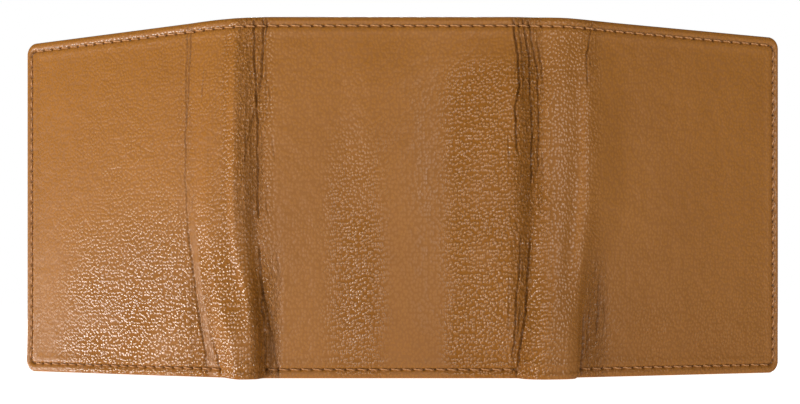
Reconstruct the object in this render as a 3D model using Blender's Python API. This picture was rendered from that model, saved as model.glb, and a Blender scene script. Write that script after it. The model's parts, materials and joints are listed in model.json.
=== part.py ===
"""Trifold wallet, opened and standing on its long edge: three leather panels joined by two soft folds.

Metres, +Z up. X runs across the wallet, the leather's outer face looks towards -Y and the card pockets
look towards +Y. The origin is the middle of the centre panel's bottom edge, half way through its cover.

Each panel is a stack of flat layers. A layer is a pair of depths, measured inward from the outer face of
the cover. On the folds and wings, x is counted from the crease that the piece turns about.
"""

import math
from collections import namedtuple

import bmesh
import bpy

MM = 0.001

# Driving sizes
HEIGHT = 108 * MM
CENTRE_WIDTH = 77 * MM
FOLD_WIDTH = {"left": 12.2 * MM, "right": 17.8 * MM}
WING_WIDTH = {"left": 74 * MM, "right": 70 * MM}
CORNER_RADIUS = 3.5 * MM

# How far each of the two creases beside a fold is closed at rest, in degrees
REST_CREASE = {"left": 10, "right": 7.5}
SIDES = {"left": -1, "right": 1}

# Layers: depth of the near and far face below the cover's outer face
COVER = (0, 1.0 * MM)
STIFFENER = (1.08 * MM, 1.38 * MM)
LINING = (1.46 * MM, 1.66 * MM)
TOP_HEM = (1.08 * MM, 1.66 * MM)
HEM = (1.76 * MM, 2.40 * MM)
INNER_BACK = (2.50 * MM, 2.95 * MM)
REAR_POCKET = (3.03 * MM, 3.48 * MM)
MIDDLE_POCKET = (3.56 * MM, 4.01 * MM)
FRONT_POCKET = (4.09 * MM, 4.54 * MM)
WINDOW_SHEET = (3.56 * MM, 3.81 * MM)
WINDOW_FRAME = (3.89 * MM, 4.54 * MM)
OUTER_THREAD = (-0.35 * MM, -0.05 * MM)
INNER_THREAD = (4.60 * MM, 4.80 * MM)
HINGE_DEPTH = 2.45 * MM

# Clearances beside a crease, and insets from the free edges
COVER_GAP = 0.8 * MM
FOLD_GAP = 0.6 * MM
INNER_GAP = 2.2 * MM
SKIN_INSET = 1.2 * MM
TOUCH = 0.1 * MM
ROLL_GAP = 0.35 * MM

# Heights above the bottom edge
TOP_HEM_DEPTH = 8 * MM
HEM_WIDTH = 6 * MM
INNER_TOP = 101 * MM
POCKET_MOUTHS = {"rear": 90 * MM, "middle": 81 * MM, "front": 72 * MM}
SLIP_MOUTH = 96 * MM
FRAME_TOP = 91 * MM

# Window in the centre panel's card frame
WINDOW_WIDTH = 50 * MM
WINDOW_SILL = 9 * MM
WINDOW_HEAD = 84 * MM
WINDOW_RADIUS = 3 * MM
SHEET_OVERLAP = 3 * MM

# Stitching
THREAD_WIDTH = 0.5 * MM
LONG_SEAM_INSET = 2.7 * MM
END_SEAM_INSET = 2.0 * MM

# The rolls of loose leather at the folds
ROLL_BULGE_BOTTOM = 5.5 * MM
ROLL_BULGE_TOP = 2.0 * MM
LINING_THICKNESS = 0.2 * MM
HEM_THICKNESS = 0.5 * MM
ROLL_STEPS = 14
ARC_STEPS = 6

Body = namedtuple("Body", "empty side face_y")


def material(name, colour, roughness, alpha=1.0):
    made = bpy.data.materials.new(name)
    made.use_nodes = True
    shader = made.node_tree.nodes["Principled BSDF"]
    shader.inputs["Base Color"].default_value = (*colour, 1)
    shader.inputs["Roughness"].default_value = roughness
    shader.inputs["Metallic"].default_value = 0
    shader.inputs["Alpha"].default_value = alpha
    return made


def make_materials():
    return {
        "outer_leather": material("outer_leather", (0.32, 0.13, 0.035), 0.45),
        "inner_leather": material("inner_leather", (0.27, 0.11, 0.03), 0.5),
        "lining": material("lining", (0.10, 0.05, 0.025), 0.8),
        "board": material("board", (0.45, 0.38, 0.28), 0.9),
        "thread": material("thread", (0.42, 0.20, 0.07), 0.7),
        "clear_vinyl": material("clear_vinyl", (0.9, 0.92, 0.92), 0.1, alpha=0.35),
    }


def empty(name, parent=None, location=(0, 0, 0), turn=0.0):
    made = bpy.data.objects.new(name, None)
    made.parent = parent
    made.location = location
    made.rotation_euler = (0, 0, turn)
    bpy.context.scene.collection.objects.link(made)
    return made


def make_bodies():
    """The five moving groups, as empties that stand on the creases."""
    centre_face = -COVER[1] / 2
    bodies = {"centre": Body(empty("centre_frame"), 0, centre_face)}
    for name, side in SIDES.items():
        turn = side * math.radians(REST_CREASE[name])
        crease = (side * CENTRE_WIDTH / 2, centre_face + HINGE_DEPTH, 0)
        spine = empty(f"{name}_spine_frame", bodies["centre"].empty, crease, turn)
        wing = empty(f"{name}_wing_frame", spine, (side * FOLD_WIDTH[name], 0, 0), turn)
        bodies[f"{name}_spine"] = Body(spine, side, -HINGE_DEPTH)
        bodies[f"{name}_wing"] = Body(wing, side, -HINGE_DEPTH)
    return bodies


def add_object(name, body, mesh, surface):
    """Turns a finished bmesh into a named object on its body."""
    bmesh.ops.recalc_face_normals(mesh, faces=mesh.faces)
    data = bpy.data.meshes.new(name)
    mesh.to_mesh(data)
    mesh.free()
    data.materials.append(surface)
    made = bpy.data.objects.new(name, data)
    made.parent = body.empty
    bpy.context.scene.collection.objects.link(made)
    return made


def corner(centre_x, centre_z, radius, start):
    """Points of a quarter circle, from the angle start (in degrees) anticlockwise."""
    steps = ARC_STEPS if radius else 0
    angles = [math.radians(start + 90 * i / max(steps, 1)) for i in range(steps + 1)]
    return [(centre_x + radius * math.cos(a), centre_z + radius * math.sin(a)) for a in angles]


def rectangle(x0, x1, z0, z1, inner_radius=0.0, outer_radius=0.0):
    """An outline from x0, on the crease's side, to x1, with rounded corners at either side."""
    a, b = inner_radius, outer_radius
    return (
        corner(x1 - b, z0 + b, b, 270)
        + corner(x1 - b, z1 - b, b, 0)
        + corner(x0 + a, z1 - a, a, 90)
        + corner(x0 + a, z0 + a, a, 180)
    )


def plate(name, body, outline, layer, surface):
    """A flat piece: the outline in (x, z), extruded through its layer."""
    near, far = layer
    flip = body.side or 1
    mesh = bmesh.new()
    rim = [mesh.verts.new((flip * x, body.face_y + near, z)) for x, z in outline]
    face = mesh.faces.new(rim)
    grown = bmesh.ops.extrude_face_region(mesh, geom=[face])["geom"]
    far_verts = [v for v in grown if isinstance(v, bmesh.types.BMVert)]
    bmesh.ops.translate(mesh, verts=far_verts, vec=(0, far - near, 0))
    return add_object(name, body, mesh, surface)


def seam_round_edge(end, inset_long, inset_end, radius, start, top):
    """A U-shaped band of thread: along the top, down the outer end and back along the bottom."""
    def path(shift):
        x, low, high = end - inset_end - shift, inset_long + shift, top - inset_long - shift
        r = radius - shift
        return (
            [(start, low)]
            + corner(x - r, low + r, r, 270)
            + corner(x - r, high - r, r, 0)
            + [(start, high)]
        )

    return path(0) + path(THREAD_WIDTH)[::-1]


def arch(name, body, span, inset, thickness, z0, z1, surface):
    """The roll of loose leather over a fold: half an elliptical shell, higher at the bottom."""
    middle = span / 2

    def section(z, shrink):
        rise = ROLL_BULGE_BOTTOM + (ROLL_BULGE_TOP - ROLL_BULGE_BOTTOM) * z / HEIGHT
        half = middle - FOLD_GAP - shrink
        height = rise + COVER[1] - shrink
        foot = body.face_y + COVER[1]
        for i in range(ROLL_STEPS + 1):
            a = math.pi * i / ROLL_STEPS
            yield (body.side * (middle - half * math.cos(a)), foot - height * math.sin(a), z)

    mesh = bmesh.new()
    rings = [
        [mesh.verts.new(p) for p in section(z, shrink)]
        for z in (z0, z1)
        for shrink in (inset, inset + thickness)
    ]
    outer_low, inner_low, outer_high, inner_high = rings
    walls = (
        (outer_low, outer_high),
        (inner_high, inner_low),
        (inner_low, outer_low),
        (outer_high, inner_high),
    )
    for first, second in walls:
        for i in range(ROLL_STEPS):
            mesh.faces.new((first[i], first[i + 1], second[i + 1], second[i]))
    for i in (0, ROLL_STEPS):
        mesh.faces.new((outer_low[i], inner_low[i], inner_high[i], outer_high[i]))
    return add_object(name, body, mesh, surface)


def make_centre(body, surfaces):
    half = CENTRE_WIDTH / 2
    leather, inner = surfaces["outer_leather"], surfaces["inner_leather"]
    lining_top = HEIGHT - TOP_HEM_DEPTH - TOUCH

    def strip(name, gap, z0, z1, layer, surface):
        return plate(name, body, rectangle(-half + gap, half - gap, z0, z1), layer, surface)

    strip("cover_centre", COVER_GAP, 0, HEIGHT, COVER, leather)
    strip("stiffener_centre", INNER_GAP, HEM_WIDTH + TOUCH, lining_top, STIFFENER, surfaces["board"])
    strip("lining_centre", COVER_GAP, SKIN_INSET, lining_top, LINING, surfaces["lining"])
    strip("top_hem_centre", COVER_GAP, HEIGHT - TOP_HEM_DEPTH, HEIGHT - TOUCH, TOP_HEM, leather)
    strip("bottom_hem_centre", COVER_GAP, 0, HEM_WIDTH, HEM, leather)
    strip("inner_back_centre", INNER_GAP, SKIN_INSET, INNER_TOP, INNER_BACK, inner)
    strip("slip_pocket_centre", INNER_GAP, SKIN_INSET, SLIP_MOUTH, REAR_POCKET, inner)
    thread = surfaces["thread"]
    low, high = LONG_SEAM_INSET, HEIGHT - LONG_SEAM_INSET
    strip("bottom_seam_centre", COVER_GAP, low, low + THREAD_WIDTH, OUTER_THREAD, thread)
    strip("top_seam_centre", COVER_GAP, high - THREAD_WIDTH, high, OUTER_THREAD, thread)
    make_window(body, surfaces)


def make_window(body, surfaces):
    """The clear card window: a vinyl sheet behind a leather frame with a rounded opening."""
    half = CENTRE_WIDTH / 2 - INNER_GAP
    reach = WINDOW_WIDTH / 2 + SHEET_OVERLAP
    sheet = rectangle(-reach, reach, WINDOW_SILL - SHEET_OVERLAP, WINDOW_HEAD + SHEET_OVERLAP)
    plate("id_window_sheet", body, sheet, WINDOW_SHEET, surfaces["clear_vinyl"])
    outline = rectangle(-half, half, SKIN_INSET, FRAME_TOP)
    frame = plate("id_window_frame", body, outline, WINDOW_FRAME, surfaces["inner_leather"])
    opening = rectangle(
        -WINDOW_WIDTH / 2, WINDOW_WIDTH / 2, WINDOW_SILL, WINDOW_HEAD, WINDOW_RADIUS, WINDOW_RADIUS
    )
    through = (WINDOW_FRAME[0] - MM, WINDOW_FRAME[1] + MM)
    cutter = plate("window_cutter", body, opening, through, surfaces["inner_leather"])
    cutter.hide_render = True
    cut = frame.modifiers.new("opening", "BOOLEAN")
    cut.operation = "DIFFERENCE"
    cut.object = cutter


def make_spine(name, body, surfaces):
    """The strip between two creases: a roll of cover leather outside, a flat gusset inside."""
    span = FOLD_WIDTH[name]
    leather = surfaces["outer_leather"]
    under = COVER[1] + ROLL_GAP
    lining_top = HEIGHT - TOP_HEM_DEPTH - TOUCH
    arch(f"cover_fold_{name}", body, span, 0, COVER[1], 0, HEIGHT, leather)
    cloth = surfaces["lining"]
    arch(f"lining_fold_{name}", body, span, under, LINING_THICKNESS, SKIN_INSET, lining_top, cloth)
    hem_low, hem_high = HEIGHT - TOP_HEM_DEPTH, HEIGHT - TOUCH
    arch(f"top_hem_fold_{name}", body, span, under, HEM_THICKNESS, hem_low, hem_high, leather)
    outline = rectangle(FOLD_GAP, span - FOLD_GAP, 0, HEM_WIDTH)
    plate(f"bottom_hem_fold_{name}", body, outline, HEM, leather)
    outline = rectangle(FOLD_GAP + TOUCH, span - FOLD_GAP - TOUCH, SKIN_INSET, INNER_TOP)
    plate(f"inner_gusset_{name}", body, outline, INNER_BACK, surfaces["inner_leather"])
    thread_top = HEIGHT - LONG_SEAM_INSET
    thread_low, thread, lift = thread_top - THREAD_WIDTH, surfaces["thread"], OUTER_THREAD[0]
    arch(f"top_seam_fold_{name}", body, span, lift, THREAD_WIDTH / 2, thread_low, thread_top, thread)


def make_wing(name, body, surfaces):
    width = WING_WIDTH[name]
    leather, inner, thread = surfaces["outer_leather"], surfaces["inner_leather"], surfaces["thread"]
    lining_top = HEIGHT - TOP_HEM_DEPTH - TOUCH
    inside = width - SKIN_INSET
    corner_inside = CORNER_RADIUS - SKIN_INSET

    plate(f"cover_{name}", body, rectangle(COVER_GAP, width, 0, HEIGHT, 0, CORNER_RADIUS), COVER, leather)
    outline = rectangle(INNER_GAP, width - HEM_WIDTH, HEM_WIDTH + TOUCH, lining_top)
    plate(f"stiffener_{name}", body, outline, STIFFENER, surfaces["board"])
    outline = rectangle(COVER_GAP, inside, SKIN_INSET, lining_top)
    plate(f"lining_{name}", body, outline, LINING, surfaces["lining"])
    outline = rectangle(COVER_GAP, inside, HEIGHT - TOP_HEM_DEPTH, HEIGHT - TOUCH)
    plate(f"top_hem_{name}", body, outline, TOP_HEM, leather)
    outline = rectangle(COVER_GAP, width - CORNER_RADIUS, 0, HEM_WIDTH)
    plate(f"bottom_hem_{name}", body, outline, HEM, leather)
    outline = rectangle(width - HEM_WIDTH, inside, HEM_WIDTH + TOUCH, INNER_TOP)
    plate(f"side_hem_{name}", body, outline, HEM, leather)
    outline = rectangle(INNER_GAP, inside, SKIN_INSET, INNER_TOP, 0, corner_inside)
    plate(f"inner_back_{name}", body, outline, INNER_BACK, inner)

    layers = {"rear": REAR_POCKET, "middle": MIDDLE_POCKET, "front": FRONT_POCKET}
    for place, layer in layers.items():
        outline = rectangle(INNER_GAP, inside, SKIN_INSET, POCKET_MOUTHS[place])
        plate(f"card_pocket_{name}_{place}", body, outline, layer, inner)

    band = seam_round_edge(
        width, LONG_SEAM_INSET, END_SEAM_INSET, CORNER_RADIUS - END_SEAM_INSET, COVER_GAP, HEIGHT
    )
    plate(f"edge_seam_{name}", body, band, OUTER_THREAD, thread)
    low, high = SKIN_INSET + END_SEAM_INSET, POCKET_MOUTHS["front"]
    x0, x1 = INNER_GAP + END_SEAM_INSET, inside - END_SEAM_INSET
    w = THREAD_WIDTH
    outer_edge = [(x0, high), (x0, low), (x1, low), (x1, high)]
    inner_edge = [(x1 - w, high), (x1 - w, low + w), (x0 + w, low + w), (x0 + w, high)]
    plate(f"pocket_seam_{name}", body, outer_edge + inner_edge, INNER_THREAD, thread)


def main():
    for old in list(bpy.data.objects):
        bpy.data.objects.remove(old, do_unlink=True)
    surfaces = make_materials()
    bodies = make_bodies()
    make_centre(bodies["centre"], surfaces)
    for name in SIDES:
        make_spine(name, bodies[f"{name}_spine"], surfaces)
        make_wing(name, bodies[f"{name}_wing"], surfaces)


main()
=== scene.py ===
import json
import math

import bpy
import numpy as np
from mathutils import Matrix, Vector


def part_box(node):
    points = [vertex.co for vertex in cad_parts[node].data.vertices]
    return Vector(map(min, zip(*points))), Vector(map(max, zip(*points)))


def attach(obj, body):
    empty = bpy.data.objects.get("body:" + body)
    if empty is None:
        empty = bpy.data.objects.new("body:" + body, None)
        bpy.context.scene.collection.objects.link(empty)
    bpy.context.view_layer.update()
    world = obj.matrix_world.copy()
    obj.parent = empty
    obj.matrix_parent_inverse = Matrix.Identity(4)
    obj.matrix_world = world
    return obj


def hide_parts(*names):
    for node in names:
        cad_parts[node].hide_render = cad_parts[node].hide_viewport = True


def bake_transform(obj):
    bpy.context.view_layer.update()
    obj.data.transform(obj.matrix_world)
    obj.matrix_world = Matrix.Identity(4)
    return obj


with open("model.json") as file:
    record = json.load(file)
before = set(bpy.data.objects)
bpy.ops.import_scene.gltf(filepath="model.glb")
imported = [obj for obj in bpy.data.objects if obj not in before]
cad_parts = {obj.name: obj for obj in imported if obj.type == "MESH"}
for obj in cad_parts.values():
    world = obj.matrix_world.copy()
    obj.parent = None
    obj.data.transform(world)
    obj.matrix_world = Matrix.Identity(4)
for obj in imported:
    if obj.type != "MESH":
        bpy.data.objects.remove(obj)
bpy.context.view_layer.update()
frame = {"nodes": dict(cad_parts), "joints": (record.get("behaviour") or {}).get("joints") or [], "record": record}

MM = 0.001

# ---------------- sizes, in millimetres, from the frame

BODY_NODES = frame["record"]["behaviour"]["bodies"]
JOINTS = {j["name"]: j for j in frame["joints"]}
SIGN = {"left": -1, "right": 1}


def corners_mm(node):
    low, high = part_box(node)
    return np.array(low) / MM, np.array(high) / MM


HEIGHT = corners_mm("cover_centre")[1][2]
FACE_Y = corners_mm("cover_centre")[0][1]
CREASE_POINT = {name: np.array(j["pos_m"][:2]) / MM for name, j in JOINTS.items()}
HALF = CREASE_POINT["right_spine_fold"][0]
HINGE_Y = CREASE_POINT["right_spine_fold"][1]
HINGE_DEPTH = HINGE_Y - FACE_Y
SPAN = {
    side: float(np.linalg.norm(CREASE_POINT[f"{side}_wing_fold"] - CREASE_POINT[f"{side}_spine_fold"]))
    for side in SIGN
}
TURN = {s: math.radians(-JOINTS[f"{s}_spine_fold"]["range_deg"][0]) for s in SIGN}

# Where each body's flat strip starts: its crease, the strip's heading and the crease's q
STRIPS = {"centre": (np.array((0, HINGE_Y)), 0.0, 0.0)}
for side, sign in SIGN.items():
    STRIPS[f"{side}_spine"] = (CREASE_POINT[f"{side}_spine_fold"], sign * TURN[side], sign * HALF)
    wing_q = sign * (HALF + SPAN[side])
    STRIPS[f"{side}_wing"] = (CREASE_POINT[f"{side}_wing_fold"], 2 * sign * TURN[side], wing_q)


def strip_box(node):
    """A CAD node's extent along the unfolded wallet: its (q, depth, z) ranges, in millimetres."""
    body = next(b for b, nodes in BODY_NODES.items() if node in nodes)
    point, heading, start = STRIPS[body]
    places = np.array([v.co for v in frame["nodes"][node].data.vertices]) / MM
    across = places[:, :2] - point
    q = start + across @ (math.cos(heading), math.sin(heading))
    depth = HINGE_DEPTH + across @ (-math.sin(heading), math.cos(heading))
    return [(float(a.min()), float(a.max())) for a in (q, depth, places[:, 2])]


TIP = {"left": strip_box("cover_left")[0][0], "right": strip_box("cover_right")[0][1]}
SPINE_MIDDLE = {s: SIGN[s] * (HALF + SPAN[s] / 2) for s in SIGN}
INNER_BACK = strip_box("inner_back_centre")[1]
HEM_NEAR = strip_box("bottom_hem_centre")[1][0]
HEM_START = strip_box("top_hem_centre")[2][0]
HEM_BACK = strip_box("top_hem_centre")[1][1]
COVER_BACK = strip_box("cover_centre")[1][1]
CORNER = 3.5

# ---------------- the unfolded wallet, laid onto its rest pose

BEND_HALF = 3.0
Q_LINE = np.arange(TIP["left"] - 10, TIP["right"] + 10, 0.05)


def headings(q):
    """The direction of the hinge line at q: it turns smoothly through each crease."""
    total = np.zeros_like(q)
    for side, sign in SIGN.items():
        for crease in (HALF, HALF + SPAN[side]):
            share = np.clip((sign * q - crease + BEND_HALF) / (2 * BEND_HALF), 0, 1)
            total += sign * TURN[side] * share
    return total


HEADING_LINE = headings(Q_LINE)
STEP = Q_LINE[1] - Q_LINE[0]
X_LINE = np.cumsum(np.cos(HEADING_LINE)) * STEP
Y_LINE = np.cumsum(np.sin(HEADING_LINE)) * STEP
X_LINE -= np.interp(0, Q_LINE, X_LINE)
Y_LINE += HINGE_Y - np.interp(0, Q_LINE, Y_LINE)


def place(q, depth, z):
    """Points at q along the unfolded wallet and depth below its outer face, in the row frame (mm)."""
    q, depth, z = np.broadcast_arrays(q, depth, z)
    heading = np.interp(q, Q_LINE, HEADING_LINE)
    inward = depth - HINGE_DEPTH
    x = np.interp(q, Q_LINE, X_LINE) - np.sin(heading) * inward
    y = np.interp(q, Q_LINE, Y_LINE) + np.cos(heading) * inward
    return np.stack([x, y, z], axis=-1)


# ---------------- small number helpers

def smooth(t):
    t = np.clip(t, 0, 1)
    return t * t * (3 - 2 * t)


def lattice(x, y, seed):
    """Smooth noise from -1 to 1, with features about one unit across."""
    random = np.random.default_rng(seed)
    table = random.uniform(-1, 1, (64, 64))
    i, j = np.floor(x).astype(int), np.floor(y).astype(int)
    u, v = smooth(x - i), smooth(y - j)
    pick = lambda a, b: table[(i + a) % 64, (j + b) % 64]
    low = pick(0, 0) * (1 - u) + pick(1, 0) * u
    high = pick(0, 1) * (1 - u) + pick(1, 1) * u
    return low * (1 - v) + high * v


def blurred(rows, width):
    """Each row smoothed along itself; width is in samples. The ends keep their slope."""
    reach = int(4 * width)
    kernel = np.exp(-0.5 * (np.arange(-reach, reach + 1) / width) ** 2)
    kernel /= kernel.sum()
    first, last = rows[:, :1], rows[:, -1:]
    before = 2 * first - rows[:, reach:0:-1]
    after = 2 * last - rows[:, -2 : -reach - 2 : -1]
    padded = np.concatenate([before, rows, after], axis=1)
    return np.stack([np.convolve(r, kernel, mode="valid") for r in padded])


# ---------------- the outer leather's large shape

# Each roll's horizontal section at a few heights, as (q, rise) points from left to right. The leather is
# gathered in at the bottom into a narrow high roll, and spreads out over the fold towards the top.
LEFT_ROLL = {
    0: ((-55, 0), (-51, 0.2), (-47.6, 3), (-43.9, 5.3),
        (-42.2, 5), (-40.8, 4.5), (-39.1, 3.4), (-37.8, 0)),
    12: ((-57.2, 0), (-53.2, 0.4), (-49.6, 2.9), (-46, 4.7),
         (-42.2, 4.6), (-40.6, 4.6), (-39.2, 3.4), (-38, 0)),
    26: ((-59.5, 0), (-55.9, 0.8), (-53.6, 1.7), (-51, 2.6),
         (-44.2, 3.1), (-42, 3.7), (-40.6, 2.9), (-39, 0)),
    40: ((-61.6, 0), (-58.4, 0.3), (-55.6, 1.2), (-53.6, 1.9),
         (-47.6, 2.3), (-45.4, 3.3), (-42.6, 2.6), (-39.6, 0)),
    56: ((-62.8, 0), (-59.8, 0.2), (-57.4, 0.7), (-55, 1.3),
         (-48.7, 1.8), (-46.2, 3), (-43.2, 2.3), (-39.8, 0)),
    83: ((-62.8, 0), (-60, 0.2), (-57.6, 0.55), (-55, 0.85),
         (-48.8, 1.2), (-46.2, 2.2), (-43.2, 1.6), (-39.8, 0)),
    108: ((-62.2, 0), (-59.6, 0.1), (-57.6, 0.2), (-55, 0.2),
          (-49, 0.2), (-46.5, 0.4), (-43.5, 0.3), (-39.5, 0)),
}
RIGHT_ROLL = {
    0: ((37.2, 0), (38.5, 2.4), (40.6, 4.2), (45, 5.4),
        (50, 5.2), (53.7, 4), (55.5, 0.3), (58, 0)),
    12: ((38, 0), (39.5, 2.2), (41.8, 3.9), (46, 5.2),
         (50.8, 4.9), (54.3, 3.8), (56.4, 0.5), (60, 0.1)),
    26: ((40, 0), (41.7, 1.3), (44.6, 2.8), (48.2, 3.7),
         (51.6, 3.5), (54.4, 3.3), (57.8, 1.2), (63, 0.3)),
    40: ((40.9, 0), (43, 0.9), (46, 1.9), (49.6, 2.3),
         (53.4, 1.8), (55.9, 2.5), (60, 1.4), (68, 0.3)),
    56: ((41.3, 0), (43.8, 0.7), (47, 1.4), (50.5, 1.5),
         (55, 1), (57.6, 2), (62, 1.5), (73, 0.2)),
    83: ((41.6, 0), (44.4, 0.6), (47.4, 1.1), (51, 1.2),
         (55.6, 0.8), (58, 1.4), (62, 1.1), (73, 0.1)),
    108: ((41, 0), (44, 0.3), (47.5, 0.7), (51.5, 0.9),
          (55, 0.6), (58, 0.4), (62, 0.2), (70, 0)),
}
# How far the leather stands off its flat panels, halfway up: it swells towards the rolls
SWELL = (
    (-124.7, 0), (-110, 0.1), (-90, 0.25), (-75, 0.42), (-64, 0.42), (-57, 0.3), (-44, 0), (-30, 0.1),
    (-17, 0.1), (-5, 0.75), (5, 0.6), (15, 0.15), (23, 0.55), (31, 1.4), (37, 1.9), (42.5, 0), (75, 0.1),
    (95, 0.3), (126.3, 0),
)
CURVE_SAMPLES = 1500
CURVE_BLUR = 0.5


def through(knots, values, at):
    """A smooth curve through values at knots, along the first axis, with no overshoot between them."""
    knots, values, at = np.asarray(knots, float), np.asarray(values, float), np.asarray(at, float)
    shape = (-1,) + (1,) * (values.ndim - 1)
    gap = np.diff(knots).reshape(shape)
    slope = np.diff(values, axis=0) / gap
    turns = slope[:-1] * slope[1:] <= 0
    inner = np.where(turns, 0, 2 * slope[:-1] * slope[1:] / np.where(turns, 1, slope[:-1] + slope[1:]))
    tangent = np.concatenate([slope[:1], inner, slope[-1:]])
    k = np.clip(np.searchsorted(knots, at) - 1, 0, len(knots) - 2)
    t = ((at - knots[k]) / (knots[k + 1] - knots[k])).reshape(shape)
    t = np.clip(t, 0, 1)
    low, high = values[k], values[k + 1]
    return (
        low * (1 + 2 * t) * (1 - t) ** 2
        + high * t * t * (3 - 2 * t)
        + gap[k] * (tangent[k] * t * (1 - t) ** 2 - tangent[k + 1] * t * t * (1 - t))
    )


def panel_swell(q, z):
    """How far the leather stands off its flat panel at q and z."""
    places, amounts = zip(*SWELL)
    rise = np.interp(q, Q_LINE, through(places, amounts, Q_LINE.clip(places[0], places[-1])))
    uneven = 0.12 * lattice(q / 19 + 3, z / 33, 5) + 0.06 * lattice(q / 8, z / 19 + 8, 6)
    rise = rise + uneven * (0.5 + 0.5 * smooth((q + 58) / 4))
    hold = smooth(z / 17) * smooth((HEIGHT - z) / 20)
    ends = smooth((q - TIP["left"]) / 14) * smooth((TIP["right"] - q) / 14)
    flare = 0.5 * np.clip(1 - z / 20, 0, 1) ** 2 * smooth((-q - 62) / 10)
    return rise * hold * ends + flare


def cross_sections(z):
    """The outer face's horizontal section at each height: x, y and q at even steps of length."""
    left = through(list(LEFT_ROLL), list(LEFT_ROLL.values()), z)
    right = through(list(RIGHT_ROLL), list(RIGHT_ROLL.values()), z)
    tip = np.zeros((len(z), 1, 2))
    starts, ends = tip + (TIP["left"], 0), tip + (TIP["right"], 0)
    controls = np.concatenate([starts, left, right, ends], axis=1)
    even = np.linspace(0, 1, CURVE_SAMPLES)
    sampled = []
    for row, height in zip(controls, z):
        chord = np.concatenate([[0], np.cumsum(np.hypot(*np.diff(row, axis=0).T))])
        q, rise = through(chord, row, even * chord[-1]).T
        points = place(q, -rise - panel_swell(q, np.full_like(q, height)), height)
        length = np.concatenate([[0], np.cumsum(np.hypot(np.diff(points[:, 0]), np.diff(points[:, 1])))])
        sampled.append([np.interp(even * length[-1], length, v) for v in (points[:, 0], points[:, 1], q)])
    sampled = np.array(sampled)
    width = CURVE_BLUR / ((TIP["right"] - TIP["left"]) / CURVE_SAMPLES)
    return [blurred(sampled[:, k], width) for k in range(3)]


# ---------------- the outer leather's grid

EDGE_STEPS = (0, 0.03, 0.09, 0.18, 0.3, 0.45, 0.62, 0.82, 1.04, 1.28, 1.54, 1.8, 2.06, 2.3, 2.5, 2.7, 2.9,
              3.12, 3.4, 3.72, 4.1)
ROW_STEP, PANEL_STEP, FOLD_STEP = 0.45, 0.5, 0.24
FOLD_ZONE = (32, 66)
BACK_STEP = 4
EDGE_ROUND = 0.5


def spaced(start, end, fine_start, fine_end, step):
    """Places from start to end, closer at a fine end; the count of gaps is a multiple of BACK_STEP."""
    head = [start + e for e in EDGE_STEPS] if fine_start else [start]
    tail = [end - e for e in EDGE_STEPS][::-1] if fine_end else [end]
    line = np.linspace(head[-1], tail[0], 4000)
    density = 1 / step(line)
    count = np.concatenate([[0], np.cumsum((density[1:] + density[:-1]) / 2 * np.diff(line))])
    gaps = math.ceil(count[-1])
    while (len(head) + len(tail) + gaps - 2) % BACK_STEP:
        gaps += 1
    middle = np.interp(np.linspace(0, count[-1], gaps + 1), count, line)[1:-1]
    return np.array(head + list(middle) + tail)


def row_step(z):
    return np.full_like(z, ROW_STEP)


def column_step(s):
    """Finer where the folds' furrows are; s is counted from the centre."""
    inside = smooth((abs(s) - FOLD_ZONE[0]) / 3) * smooth((FOLD_ZONE[1] + 3 - abs(s)) / 3)
    return PANEL_STEP + (FOLD_STEP - PANEL_STEP) * inside


def corner_cut(z):
    """How far the rounded corner pulls the outline in at height z."""
    reach = np.clip(CORNER - np.minimum(z, HEIGHT - z), 0, CORNER)
    return CORNER - np.sqrt(CORNER**2 - reach**2)


def edge_distance(q, z, end_shift=0.0):
    """Distance in from the outline, with rounded corners; end_shift moves the two ends outward."""
    x = np.minimum(q - TIP["left"], TIP["right"] - q) + end_shift
    y = np.minimum(z, HEIGHT - z)
    radius = CORNER + end_shift
    in_corner = (x < radius) & (y < radius)
    rounded = radius - np.hypot(radius - x, radius - y)
    return np.where(in_corner, rounded, np.minimum(x, y))


SEAM_INSET = 2.7
SEAM_END_INSET = 2.0
STITCH = 3.4
SEAM_GROOVE, GROOVE_HALF = 0.2, 0.42
# Each needle hole's depth, and its half length and half width
HOLE_DEPTH, HOLE_LONG, HOLE_WIDE = 0.55, 0.48, 0.32
# The puffed leather on each side of the seam: how far from it, height and half width
PUFFS = ((-1.35, 0.22, 0.75), (1.6, 0.16, 1.1))

# Each roll's bottom end, where it hides the seam: its feet beside the centre panel and beside the wing
GATHER = {"left": (-37.8, -51.0), "right": (37.0, 56.4)}


class Skin:
    """The outer leather's front face as a grid: rows by height, columns by length along the leather."""

    def __init__(self):
        self.z = spaced(0, HEIGHT, True, True, row_step)
        x, y, q = cross_sections(self.z)
        gaps = np.hypot(np.diff(x, axis=1), np.diff(y, axis=1))
        s = np.concatenate([np.zeros((len(x), 1)), np.cumsum(gaps, axis=1)], axis=1)
        marks = [np.array([np.interp(m, qr, sr) for qr, sr in zip(q, s)])
                 for m in (SPINE_MIDDLE["left"], 0.0, SPINE_MIDDLE["right"])]
        cut = corner_cut(self.z)
        stops = [cut, *marks, s[:, -1] - cut]
        mean = [float(np.median(m)) for m in stops]
        shares, self.splits = [], [0]
        for k in range(4):
            places = spaced(mean[k], mean[k + 1], k == 0, k == 3, lambda s: column_step(s - mean[2]))
            shares.append((places - places[0]) / (places[-1] - places[0]))
            self.splits.append(self.splits[-1] + len(places) - 1)
        columns = [
            stops[k][:, None] + (stops[k + 1] - stops[k])[:, None] * shares[k][None, :] for k in range(4)
        ]
        length = np.concatenate([columns[0]] + [c[:, 1:] for c in columns[1:]], axis=1)
        pick = lambda values: np.array([np.interp(a, sr, vr) for a, sr, vr in zip(length, s, values)])
        self.q = pick(q)
        self.s = length - marks[1][:, None]
        height = np.broadcast_to(self.z[:, None], self.s.shape)
        self.base = np.stack([pick(x), pick(y), height], axis=-1)
        self.normal = grid_normals(self.base)
        self.height = height


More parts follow.
